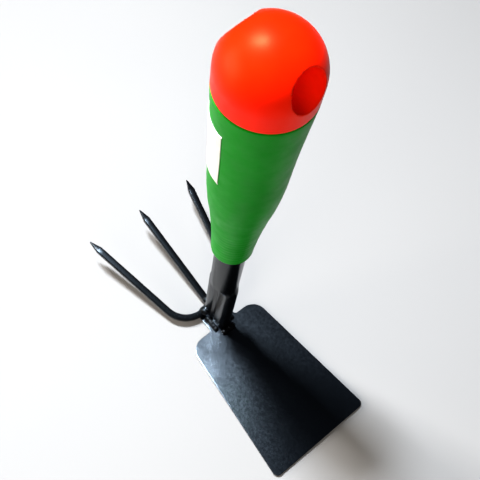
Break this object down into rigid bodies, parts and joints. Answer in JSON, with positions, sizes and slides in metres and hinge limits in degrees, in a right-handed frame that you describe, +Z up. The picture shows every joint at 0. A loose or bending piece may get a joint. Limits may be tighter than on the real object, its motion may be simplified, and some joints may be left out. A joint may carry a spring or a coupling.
{
  "type": "hand weeder",
  "caption": "Hand weeder with a flat hoe blade and a tined fork back to back on a steel shank, with a plastic grip and a hanging hole in its end cap.",
  "frame": {"origin": "centre of the footprint, on the surface that the tool stands on", "axes": "+Z up, away from the blade's flat underside; +X towards the blade's cutting edge, so the tines point to -X; the tool is symmetric about the XZ plane apart from the label and the 4 degree turn of the cap hole, and the handle leans 5 degrees towards +X"},
  "size_m": [0.1761, 0.0746, 0.2608],
  "materials": {
    "cap_plastic": "satin-gloss moulded plastic, red-orange",
    "grip_plastic": "satin moulded plastic, mid green",
    "label_paper": "smooth white paper label, no print",
    "tube_paint": "semi-gloss black paint over steel tube",
    "blade_paint": "satin black powder coat with fine speckle",
    "fork_paint": "gloss black paint over square bar",
    "weld_paint": "black paint over lumpy weld seams"
  },
  "bodies": {
    "root": {"end_cap": "cap_plastic", "grip_sleeve": "grip_plastic", "grip_label": "label_paper", "shank_tube": "tube_paint", "hoe_blade": "blade_paint", "tine_left": "fork_paint", "tine_middle": "fork_paint", "tine_right": "fork_paint", "weld_foot_left": "weld_paint", "weld_foot_right": "weld_paint", "weld_foot_front": "weld_paint", "weld_tine_left": "weld_paint", "weld_tine_middle": "weld_paint", "weld_tine_right": "weld_paint"}
  },
  "joints": []
}
